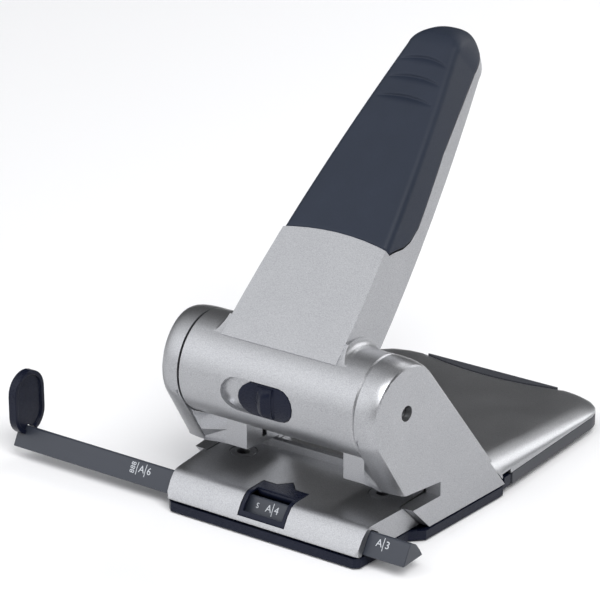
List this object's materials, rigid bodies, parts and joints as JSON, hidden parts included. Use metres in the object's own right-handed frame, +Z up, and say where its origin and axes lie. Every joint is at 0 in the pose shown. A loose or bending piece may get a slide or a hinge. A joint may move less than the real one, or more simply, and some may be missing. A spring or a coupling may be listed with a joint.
{
  "type": "office hole punch",
  "caption": "Heavy-duty office hole punch: a long lever with a soft grip presses round punches through paper on a cast table with a sliding paper guide and a chip tray.",
  "frame": {"origin": "on the standing surface, straight below the middle of the lever's axle", "axes": "X along the lever's axle, to the right seen from the front; +Y from the paper side to the back; +Z up"},
  "size_m": [0.2288, 0.2071, 0.2102],
  "materials": {
    "satin_metal": "satin silver paint on a zinc casting",
    "dark_plastic": "smooth dark blue plastic",
    "grip_plastic": "fine matt dark blue plastic",
    "bar_plastic": "matt grey plastic",
    "tool_steel": "bright turned steel",
    "zinc_steel": "zinc-plated steel",
    "flap_plastic": "matt dark grey plastic",
    "foot_rubber": "grey ribbed rubber"
  },
  "bodies": {
    "base": {"base_casting": "satin_metal", "right_cheek": "satin_metal", "left_cheek": "satin_metal", "axle": "tool_steel", "right_die": "tool_steel", "left_die": "tool_steel", "window_bezel": "dark_plastic", "bar_detent_spring": "tool_steel", "base_tray": "dark_plastic", "rubber_mat": "foot_rubber", "cheek_screw_1": "zinc_steel", "cheek_screw_2": "zinc_steel", "cheek_screw_3": "zinc_steel", "cheek_screw_4": "zinc_steel", "tray_screw_1": "zinc_steel", "tray_screw_2": "zinc_steel", "flap_hinge_rod": "tool_steel"},
    "lever": {"lever_casting": "satin_metal", "grip_pad": "grip_plastic", "grip_screw_1": "zinc_steel", "grip_screw_2": "zinc_steel", "right_drive_cam": "tool_steel", "left_drive_cam": "tool_steel"},
    "lock": {"lock_slider": "dark_plastic"},
    "left_punch_body": {"left_punch": "tool_steel", "left_punch_pin": "tool_steel", "left_return_spring": "tool_steel"},
    "right_punch_body": {"right_punch": "tool_steel", "right_punch_pin": "tool_steel", "right_return_spring": "tool_steel"},
    "guide": {"guide_bar": "bar_plastic", "paper_stop": "dark_plastic"},
    "flap": {"chip_flap": "flap_plastic"}
  },
  "joints": [
    {"name": "lever_hinge", "type": "hinge", "parent": "base", "child": "lever", "pos_m": [0, 0, 0.07], "axis": [-1, 0, 0], "range_deg": [0, 40], "stiffness_Nm_per_rad": 3, "springref_deg": -31.51},
    {"name": "left_punch_slide", "type": "slide", "parent": "base", "child": "left_punch_body", "axis": [0, 0, -1], "range_m": [0, 0.012], "stiffness_N_per_m": 300, "springref_m": -0.002, "deforming": ["left_return_spring"]},
    {"name": "right_punch_slide", "type": "slide", "parent": "base", "child": "right_punch_body", "axis": [0, 0, -1], "range_m": [0, 0.012], "stiffness_N_per_m": 300, "springref_m": -0.002, "deforming": ["right_return_spring"]},
    {"name": "lock_slide", "type": "slide", "parent": "lever", "child": "lock", "axis": [-1, 0, 0], "range_m": [0, 0.01]},
    {"name": "guide_bar_slide", "type": "slide", "parent": "base", "child": "guide", "axis": [1, 0, 0], "range_m": [-0.0615, 0.074]},
    {"name": "flap_hinge", "type": "hinge", "parent": "base", "child": "flap", "pos_m": [0, 0.08, 0.0066], "axis": [-1, 0, 0], "range_deg": [0, 60]}
  ],
  "couplings": [
    {"joint": "left_punch_slide", "follows": "lever_hinge", "m_per_rad": 0.017188},
    {"joint": "right_punch_slide", "follows": "lever_hinge", "m_per_rad": 0.017188}
  ]
}
